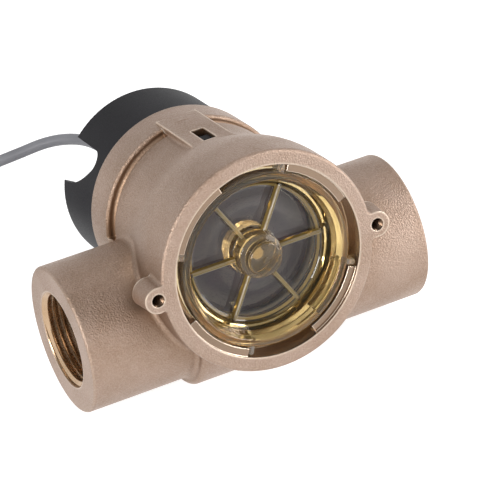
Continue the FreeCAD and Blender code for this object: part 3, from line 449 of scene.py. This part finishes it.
# Materials
def make_bronze():
    """Sand-cast bronze: pinkish tan and grainy, with rubbed edges partly painted as highlights,
    painted shade in crevices, and smooth with painted edge highlights where turned.
    """
    material, tree, shader = new_material("cast_bronze")
    grain = noise(tree, GRAIN_SIZE, 4.0)
    blotch = noise(tree, BLOTCH_SIZE)
    waves = noise(tree, WAVE_SIZE, 2.0)
    radius, height = lens_places(tree)
    in_mouth = maths(tree, "LESS_THAN", radius, BEZEL_BORE * MM)
    below_face = maths(tree, "LESS_THAN", height, -TURNED_MARGIN * MM)
    over_chamber = maths(tree, "GREATER_THAN", height, -MOUTH_DEPTH * MM)
    turned = product(tree, in_mouth, below_face, over_chamber)
    # Painted highlight on the edges of the turned lips
    turned_edge_highlight = spread(tree, bend_of(tree, 0.5), 0.97, 0.8)
    face = maths(tree, "GREATER_THAN", height, -FACE_MARGIN * MM)
    # Painted shade: darker and browner where the casting closes in; the sand is also smoothed there
    shade_openness = openness(tree, SHADE_REACH)
    # Rubbed edges, lighter and smoother, partly a painted highlight along them
    worn_and_highlight = spread(tree, openness(tree, WEAR_AND_HIGHLIGHT_REACH, inside=True), 0.85, 0.55, 0.0, 0.8)

    tone = colours(tree, spread(tree, blotch, 0.35, 0.65), BRONZE_DARK, BRONZE_LIGHT)
    layers = (
        (spread(tree, grain, 0.4, 0.75, 0.0, 0.42), BRONZE_GRAIN),
        (product(tree, face, 0.2), BRONZE_FACE),
        (spread(tree, shade_openness, 0.92, 0.4, 0.0, 0.68), BRONZE_PAINTED_SHADE),
        (worn_and_highlight, BRONZE_WORN_AND_HIGHLIGHT),
        (turned, colours(tree, turned_edge_highlight, BRONZE_TURNED, BRONZE_TURNED_EDGE_HIGHLIGHT)),
    )
    for share, colour in layers:
        tone = colours(tree, share, tone, colour)

    smooth = most(tree, turned, product(tree, worn_and_highlight, 0.7))
    rough = spread(tree, grain, 0.25, 0.75, 0.5, 0.32)
    rough = product(tree, rough, spread(tree, smooth, 0, 1, 1.0, 0.5))
    even = most(tree, turned, worn_and_highlight, spread(tree, shade_openness, 0.75, 0.5))
    sand = spread(tree, even, 0, 1, 1.0, 0.03)
    normal = bumped(tree, waves, WAVE_DEPTH, eased_normal(tree, 0.45), product(tree, sand, 0.6))
    normal = bumped(tree, grain, GRAIN_DEPTH, normal, sand)
    feed(tree, shader, {"Base Color": tone, "Roughness": rough, "Metallic": 0.9, "Normal": normal})
    return material


def make_thread_bronze(name, dark, bright):
    """Cut bronze in the threads, more golden than the cast skin, or much darker as painted shade.
    """
    material, tree, shader = new_material(name)
    chatter = noise(tree, 0.25, 2.0)
    feed(tree, shader, {
        "Base Color": colours(tree, noise(tree, 3.0), dark, bright),
        "Roughness": spread(tree, chatter, 0.3, 0.7, 0.2, 0.36),
        "Metallic": 1.0,
        "Normal": bumped(tree, chatter, 0.01),
    })
    return material


def make_lens_plastic():
    """Amber plastic: water clear in the window, golden in its ribs, hub and wall, with painted
    highlights on the ribs' edges.
    """
    material, tree, shader = new_material("lens_clear")
    radius, height = lens_places(tree)
    above = maths(tree, "GREATER_THAN", height, (WINDOW_MARGIN - WINDOW_FRONT) * MM)
    wall = maths(tree, "GREATER_THAN", radius, (CUP_FLOOR - WALL_MARGIN) * MM)
    hub = maths(tree, "LESS_THAN", radius, (BOSS_RADIUS + HUB_MARGIN) * MM)
    flank = maths(tree, "GREATER_THAN", radius, (LENS_OUTER - FLANK_MARGIN) * MM)
    rib = maths(tree, "SUBTRACT", maths(tree, "SUBTRACT", above, wall), hub)
    rib = most(tree, rib, 0.0)
    # Painted highlight on the ribs' edges
    rib_edge_highlight = spread(tree, bend_of(tree, 0.35), 0.96, 0.8)
    rib_tone = colours(tree, rib_edge_highlight, RIB_TONE, RIB_EDGE_HIGHLIGHT)
    tone = WINDOW_TONE
    body = 0.0
    regions = ((wall, WALL_TONE, WALL_BODY), (hub, HUB_TONE, HUB_BODY),
               (rib, rib_tone, RIB_BODY), (flank, FLANK_TONE, FLANK_BODY))
    for region, colour, share in regions:
        tone = colours(tree, region, tone, colour)
        body = maths(tree, "ADD", body, product(tree, region, share))
    feed(tree, shader, {
        "Base Color": tone,
        "Transmission Weight": maths(tree, "SUBTRACT", 1.0, body),
        "IOR": LENS_IOR,
        "Specular IOR Level": 0.5,
        "Roughness": spread(tree, noise(tree, 6.0), 0.3, 0.7, 0.01, 0.03),
        "Normal": bumped(tree, noise(tree, 12.0, 0.0), 0.02, strength=0.4),
    })
    absorb = add(tree, "VolumeAbsorption", {"Color": DEPTH_TONE, "Density": DEPTH_DENSITY})
    put(tree, absorb.outputs["Volume"], tree.nodes["Material Output"].inputs["Volume"])
    return material


def make_plastic(name, tone, shade, roughness, grain=0.3, depth=0.015, gloss=0.3):
    """Moulded plastic with a fine spark-eroded texture and faint flow marks."""
    material, tree, shader = new_material(name)
    texture = noise(tree, grain, 2.0)
    flow = spread(tree, noise(tree, 9.0), 0.3, 0.7)
    feed(tree, shader, {
        "Base Color": colours(tree, flow, shade, tone),
        "Roughness": spread(tree, texture, 0.3, 0.7, roughness - 0.06, roughness + 0.06),
        "Specular IOR Level": gloss,
        "Normal": bumped(tree, texture, depth, eased_normal(tree, 0.25, 4)),
    })
    return material


def make_metal(name, tone, roughness):
    """Bare metal with fine scratches."""
    material, tree, shader = new_material(name)
    scratch = noise(tree, 0.2, 4.0)
    shade = tuple(0.75 * part for part in tone)
    feed(tree, shader, {
        "Base Color": colours(tree, scratch, shade, tone),
        "Roughness": spread(tree, scratch, 0.2, 0.8, roughness - 0.08, roughness + 0.08),
        "Metallic": 1.0,
        "Normal": bumped(tree, scratch, 0.004),
    })
    return material


def dress_nodes():
    """Material and smooth shading of the carried-over pieces."""
    materials = {
        "body_casting": make_bronze(),
        "rotor_magnets": make_metal("magnet_ferrite", (0.08, 0.08, 0.085), 0.5),
        "lead_tips": make_metal("tinned_copper", (0.72, 0.71, 0.68), 0.3),
    }
    for name, material, tone, shade, roughness, others in PLASTICS:
        materials[name] = make_plastic(material, tone, shade, roughness, **others)
    for name, material in materials.items():
        nodes[name].data.materials.clear()
        nodes[name].data.materials.append(material)
    for node in nodes.values():
        node.data.shade_smooth()
        node.data.set_sharp_from_angle(angle=math.radians(NODE_SMOOTH))


# Threads
def make_thread(name, bore, crest, pitch, length, matrix, material):
    """A closed sleeve in a hole from Z = 0 down, with a helical thread and a countersunk mouth."""
    steps = THREAD_STEPS
    root = bore - ROOT_SHARE * (bore - crest)
    flank = 0.5 - CREST_SHARE
    section = ((0.0, crest), (CREST_SHARE, crest),
               (CREST_SHARE + flank, root), (2 * CREST_SHARE + flank, root))
    turns = range(-2, int(length / pitch) + 2)
    ridges = [(turn + share, radius) for turn in turns for share, radius in section]
    sleeve = bmesh.new()

    def thread_radius(phase):
        knots = list(section) + [(1.0, crest)]
        for (a, low), (b, high) in zip(knots, knots[1:]):
            if phase <= b:
                return low + (high - low) * (phase - a) / (b - a)
        return crest

    def inner(ridge, radius, angle):
        depth = pitch * (ridge + angle / (2 * math.pi))
        clear = min(max(depth, 0.0), length)
        if clear != depth:
            phase = (clear / pitch - angle / (2 * math.pi)) % 1.0
            radius = thread_radius(phase)
        return clear, max(radius, bore - 2 * THREAD_GAP - clear)

    rows = []
    for ridge, radius in ridges:
        row = []
        for k in range(steps):
            angle = 2 * math.pi * k / steps
            depth, r = inner(ridge, radius, angle)
            row.append(sleeve.verts.new((r * math.cos(angle), r * math.sin(angle), -depth)))
        rows.append(row)
    # The helix joins its next turn where a row ends
    for i in range(len(rows) - 1):
        for k in range(steps):
            last = k == steps - 1
            j = 0 if last else k + 1
            shift = len(section) if last else 0
            if i + 1 + shift >= len(rows):
                continue
            corners = [rows[i][k], rows[i + shift][j], rows[i + 1 + shift][j], rows[i + 1][k]]
            sleeve.faces.new(corners)
    bmesh.ops.remove_doubles(sleeve, verts=sleeve.verts, dist=1e-5)
    bmesh.ops.dissolve_degenerate(sleeve, edges=sleeve.edges, dist=1e-6)
    loose = [v for v in sleeve.verts if not v.link_faces]
    bmesh.ops.delete(sleeve, geom=loose, context="VERTS")
    # Both ends grow out to the hole's wall and are closed along it
    wall = bore - THREAD_GAP
    open_edges = [e for e in sleeve.edges if e.is_boundary]
    for end in (0.0, -length):
        rim = [e for e in open_edges if all(abs(v.co.z - end) < 1e-4 for v in e.verts)]
        grown = bmesh.ops.extrude_edge_only(sleeve, edges=rim)["geom"]
        for vert in (v for v in grown if isinstance(v, bmesh.types.BMVert)):
            flat = Vector((vert.co.x, vert.co.y, 0)).normalized() * wall
            vert.co = Vector((flat.x, flat.y, end))
    rims = [e for e in sleeve.edges if e.is_boundary]
    bmesh.ops.bridge_loops(sleeve, edges=rims)
    piece = mesh_object(name, sleeve, matrix)
    place(piece, "sensor_body", material, THREAD_SMOOTH)


def make_threads():
    """Threads of both ports and both ears."""
    bronze = make_thread_bronze("cut_bronze", (0.44, 0.29, 0.17), (0.58, 0.42, 0.28))
    for side in ("left_port", "right_port"):
        outward = Vector(mounts[side]["axis"])
        mouth = Vector(mounts[side]["pos_m"]) + outward * PORT_LENGTH / 2 * MM
        turn = outward.to_track_quat("Z", "Y").to_matrix().to_4x4()
        make_thread(side + "_thread", PORT_BORE, PORT_CREST, PORT_PITCH, PORT_LENGTH,
                    Matrix.Translation(mouth) @ turn, bronze)
    # Ear threads: a much darker copy of the cut bronze, painted shade inside the small holes
    bronze = make_thread_bronze("tapped_bronze_painted_shade", (0.12, 0.075, 0.05), (0.2, 0.13, 0.085))
    for side, name in ((-1, "left_ear_thread"), (1, "right_ear_thread")):
        ear = LENS_FRAME @ Matrix.Translation((side * EAR_RADIUS * MM, 0, 0))
        make_thread(name, EAR_HOLE, EAR_CREST, EAR_PITCH, EAR_DEPTH, ear, bronze)


# Lens
def lens_profile():
    """The lens's section from the nub on its hub round to the pin's hole."""
    return rounded([
        (0, -HUB_FACE + NUB_HEIGHT, 0),
        (NUB_RADIUS, -HUB_FACE + NUB_HEIGHT, NUB_ROUND),
        (NUB_RADIUS, -HUB_FACE, 0),
        (HUB_TIP, -HUB_FACE, HUB_ROUND),
        (HUB_TIP + HUB_DRAFT, -HUB_STEP, STEP_ROUND),
        (HUB_RADIUS, -HUB_STEP - HUB_SLOPE, SHOULDER_ROUND),
        (HUB_RADIUS, -WINDOW_FRONT, HUB_ROUND),
        (CUP_FLOOR, -WINDOW_FRONT, CUP_ROUND),
        (CUP_RIM, -LENS_RIM, RIM_ROUND),
        (LENS_OUTER, -LENS_RIM, RIM_ROUND),
        (LENS_OUTER, -FLANGE_REAR, FLANGE_ROUND),
        (LENS_SPIGOT, -FLANGE_REAR, FLANGE_ROUND),
        (LENS_SPIGOT, -SEAL_FRONT, SEAL_ROUND),
        (SEAL_FLOOR, -SEAL_FRONT, 0),
        (SEAL_FLOOR, -SEAL_REAR, 0),
        (LENS_SPIGOT, -SEAL_REAR, SEAL_ROUND),
        (LENS_SPIGOT, -SKIRT_REAR, SKIRT_ROUND),
        (SKIRT_INNER, -SKIRT_REAR, SKIRT_ROUND),
        (SKIRT_INNER, -WINDOW_REAR, SKIRT_ROUND),
        (BOSS_RADIUS, -WINDOW_REAR, HUB_ROUND),
        (BOSS_RADIUS, -BOSS_REAR, HUB_ROUND),
        (PIN_HOLE, -BOSS_REAR, 0),
        (PIN_HOLE, -PIN_HOLE_FRONT, 0),
        (0, -PIN_HOLE_FRONT, 0),
    ])


def make_rib(angle):
    """A tapered rib on the window, from inside the hub into the cup's wall."""
    rib = bmesh.new()
    bmesh.ops.create_cube(rib, size=1.0)
    for vert in rib.verts:
        side = 1 if vert.co.z < 0 else RIB_TAPER
        vert.co.x = HUB_RADIUS / 2 if vert.co.x < 0 else CUP_FLOOR + RIB_REACH
        vert.co.y *= RIB_WIDTH * side
        vert.co.z = -WINDOW_FRONT + (RIB_HEIGHT if vert.co.z > 0 else -RIB_SINK)
    tops = [e for e in rib.edges if all(v.co.z > -WINDOW_FRONT for v in e.verts)
            and abs(e.verts[0].co.x - e.verts[1].co.x) > 1]
    bmesh.ops.bevel(rib, geom=tops, offset=RIB_ROUND, segments=EDGE_SEGMENTS, affect="EDGES")
    return mesh_object("rib", rib, LENS_FRAME @ Matrix.Rotation(angle, 4, "Z"))


def make_bar(name, front, first, last):
    """A bar on the lens's flange, from a front depth down and between two angles."""
    bar = bmesh.new()
    steps = max(3, round((last - first) / BAR_STEP))
    corners = ((LENS_SPIGOT, front), (LUG_OUTER, front),
               (LUG_OUTER, LUG_REAR), (LENS_SPIGOT, LUG_REAR))
    rows = []
    for k in range(steps + 1):
        a = math.radians(first + (last - first) * k / steps)
        rows.append([bar.verts.new((r * math.cos(a), r * math.sin(a), -z)) for r, z in corners])
    for low, high in zip(rows, rows[1:]):
        for k in range(4):
            j = (k + 1) % 4
            bar.faces.new((low[k], low[j], high[j], high[k]))
    bar.faces.new(rows[0])
    bar.faces.new(rows[-1])
    ends = {*rows[0], *rows[-1]}
    rim = {v for v in bar.verts if math.hypot(v.co.x, v.co.y) > LUG_OUTER - 0.01}
    edges = [e for e in bar.edges if rim.issuperset(e.verts) or ends.issuperset(e.verts)]
    bmesh.ops.bevel(bar, geom=edges, offset=BAR_ROUND, segments=EDGE_SEGMENTS, affect="EDGES")
    return mesh_object(name, bar, LENS_FRAME)


def make_lens():
    """The lens with its ribs, lugs and stops in one skin."""
    lens = mesh_object("lens_moulding", lathe(lens_profile(), LENS_STEPS), LENS_FRAME)
    others = [make_rib(2 * math.pi * k / RIB_COUNT) for k in range(RIB_COUNT)]
    for k in range(LUG_COUNT):
        end = LIP_END + STOP_GAP + STOP_ANGLE + k * 360 / LUG_COUNT
        others.append(make_bar("lug", LUG_FRONT, end - LUG_ANGLE, end))
        others.append(make_bar("stop", STOP_FRONT, end - STOP_ANGLE, end))
    unite(lens, others)
    place(lens, "bayonet_lens", make_lens_plastic(), LENS_SMOOTH)
    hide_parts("lens")


# Cable
def on_axis(depth):
    """The point on the lens axis at a depth behind the bezel, in millimetres."""
    return (BEZEL - OUT * depth * MM) / MM


def eased(value, start, end):
    """0 before start, 1 after end and smooth between them."""
    share = min(max((value - start) / (end - start), 0.0), 1.0)
    return share * share * (3 - 2 * share)


def coil_turns():
    """Points of the wound turns: outer and inner on the bench, then inner and outer on top."""
    ease = 1 / math.cos(math.pi / COIL_POINTS)
    points = []
    for k in range(1, int(COIL_TURNS * COIL_POINTS)):
        turn = k / COIL_POINTS
        inward = eased(turn, *COIL_IN) - eased(turn, *COIL_OUT)
        radius = (COIL_OUTER + (COIL_INNER - COIL_OUTER) * inward) * ease
        angle = math.pi / 2 + 2 * math.pi * turn
        points.append((COIL_CENTRE[0] + radius * math.cos(angle),
                       COIL_CENTRE[1] + radius * math.sin(angle),
                       COIL_LOW + (COIL_HIGH - COIL_LOW) * eased(turn, *COIL_UP)))
    return points


def make_cable():
    """The cable from the bonnet's floor to its coil and bare end, as one smooth line."""
    x, y = COIL_CENTRE
    start = [tuple(on_axis(CABLE_START_DEPTH)), tuple(on_axis(BONNET_DEPTH))]
    tail = [(x - COIL_OUTER, y - share * TAIL_LENGTH, height) for share, height in TAIL]
    points = start + ROUTE + [(x, y + COIL_OUTER, COIL_LOW)] + coil_turns() + tail
    line = bpy.data.curves.new("signal_cable", "CURVE")
    line.dimensions = "3D"
    line.bevel_depth = CABLE_RADIUS * MM
    line.bevel_resolution = 6
    line.use_fill_caps = True
    spline = line.splines.new("NURBS")
    spline.points.add(len(points) - 1)
    for point, (x, y, z) in zip(spline.points, points):
        point.co = (x * MM, y * MM, z * MM, 1.0)
    spline.order_u = 3
    spline.use_endpoint_u = True
    spline.resolution_u = 6
    cable = new_object("signal_cable", line)
    jacket = make_plastic("cable_jacket", (0.26, 0.26, 0.28), (0.2, 0.2, 0.215), 0.42,
                          grain=0.8, depth=0.01)
    place(cable, "sensor_body", jacket)
    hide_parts("cable", "cable_coil")


# Stage, light and camera
def make_floor():
    """A floor that keeps shadows and is white to the eye; in reflections and through plastic it is
    white but for a painted dim patch.
    """
    mesh = bpy.data.meshes.new("floor")
    corners = [(x * FLOOR_HALF, y * FLOOR_HALF, 0) for x, y in ((-1, -1), (1, -1), (1, 1), (-1, 1))]
    mesh.from_pydata(corners, [], [(0, 1, 2, 3)])
    floor = new_object("floor", mesh)
    material, tree, shader = new_material("floor")
    tree.nodes.remove(shader)
    path = add(tree, "LightPath").outputs
    seen = most(tree, path["Is Camera Ray"], path["Is Glossy Ray"], path["Is Transmission Ray"])
    # Painted dim patch, seen only in reflections and through plastic
    spot = {0: add(tree, "NewGeometry").outputs["Position"], 1: DIM_SPOT}
    away = vectors(tree, "DISTANCE", spot, "Value")
    dim = spread(tree, away, DIM_CORE, DIM_RADIUS, DIM_GLOW, 1.0)
    dim = most(tree, dim, path["Is Camera Ray"])
    strength = product(tree, seen, FLOOR_GLOW, dim)
    glow = add(tree, "Emission", {"Color": (1, 1, 1, 1), "Strength": strength})
    diffuse = add(tree, "BsdfDiffuse", {"Color": FLOOR_TONE})
    both = add(tree, "AddShader", {0: diffuse.outputs[0], 1: glow.outputs[0]})
    put(tree, both.outputs[0], tree.nodes["Material Output"].inputs["Surface"])
    mesh.materials.append(material)


def make_world():
    """White for the eye, darker overhead and behind for reflections, and even fill light."""
    world = bpy.data.worlds.new("studio")
    bpy.context.scene.world = world
    world.use_nodes = True
    tree = world.node_tree
    direction = add(tree, "TexCoord").outputs["Generated"]
    front = vectors(tree, "DOT_PRODUCT", {0: direction, 1: FRONT}, "Value")
    height = add(tree, "SeparateXYZ", {0: direction}).outputs["Z"]
    shown = most(tree, spread(tree, front, 0.2, 0.9, 0.0, 1.05),
                 spread(tree, height, 0.1, 0.6, 1.0, 0.32))
    path = add(tree, "LightPath").outputs
    mirrored = most(tree, path["Is Glossy Ray"], path["Is Transmission Ray"])
    fill = add(tree, "Mix", {0: mirrored, 2: FILL_LIGHT, 3: shown}).outputs[0]
    strength = add(tree, "Mix", {0: path["Is Camera Ray"], 2: fill, 3: 1.0}).outputs[0]
    feed(tree, tree.nodes["Background"], {"Color": (1, 1, 1, 1), "Strength": strength})


def facing(azimuth, elevation):
    """The direction from the sensor at an azimuth off its front and an elevation, in degrees."""
    a, e = math.radians(azimuth), math.radians(elevation)
    return Vector((math.sin(a) * math.cos(e), -math.cos(a) * math.cos(e), math.sin(e)))


def make_light(name, azimuth, elevation, distance, size, power):
    """A square soft box that looks at the middle of the sensor."""
    light = bpy.data.lights.new(name, "AREA")
    light.size = size
    light.energy = power
    lamp = new_object(name, light)
    back = facing(azimuth, elevation)
    lamp.location = Vector(LIGHT_TARGET) + back * distance
    lamp.rotation_mode = "QUATERNION"
    lamp.rotation_quaternion = (-back).to_track_quat("-Z", "Y")


def make_camera():
    """The camera at the photograph's place and angle."""
    camera = new_object("camera", bpy.data.cameras.new("camera"))
    camera.data.lens = CAMERA_LENS
    camera.data.sensor_width = CAMERA_SENSOR
    camera.data.clip_start = 0.01
    azimuth = math.radians(CAMERA_AZIMUTH)
    back = facing(CAMERA_AZIMUTH, CAMERA_ELEVATION)
    right = Vector((math.cos(azimuth), math.sin(azimuth), 0))
    turn = Matrix((right, back.cross(right), back)).transposed()
    roll = Matrix.Rotation(math.radians(CAMERA_ROLL), 3, "Z")
    camera.rotation_mode = "QUATERNION"
    camera.rotation_quaternion = (turn @ roll).to_quaternion()
    camera.location = Vector(CAMERA_PLACE) * MM
    bpy.context.scene.camera = camera


dress_nodes()
make_threads()
make_lens()
make_cable()
make_floor()
make_world()
for light_settings in LIGHTS:
    make_light(*light_settings)
make_camera()
bpy.context.scene.view_settings.view_transform = "Standard"
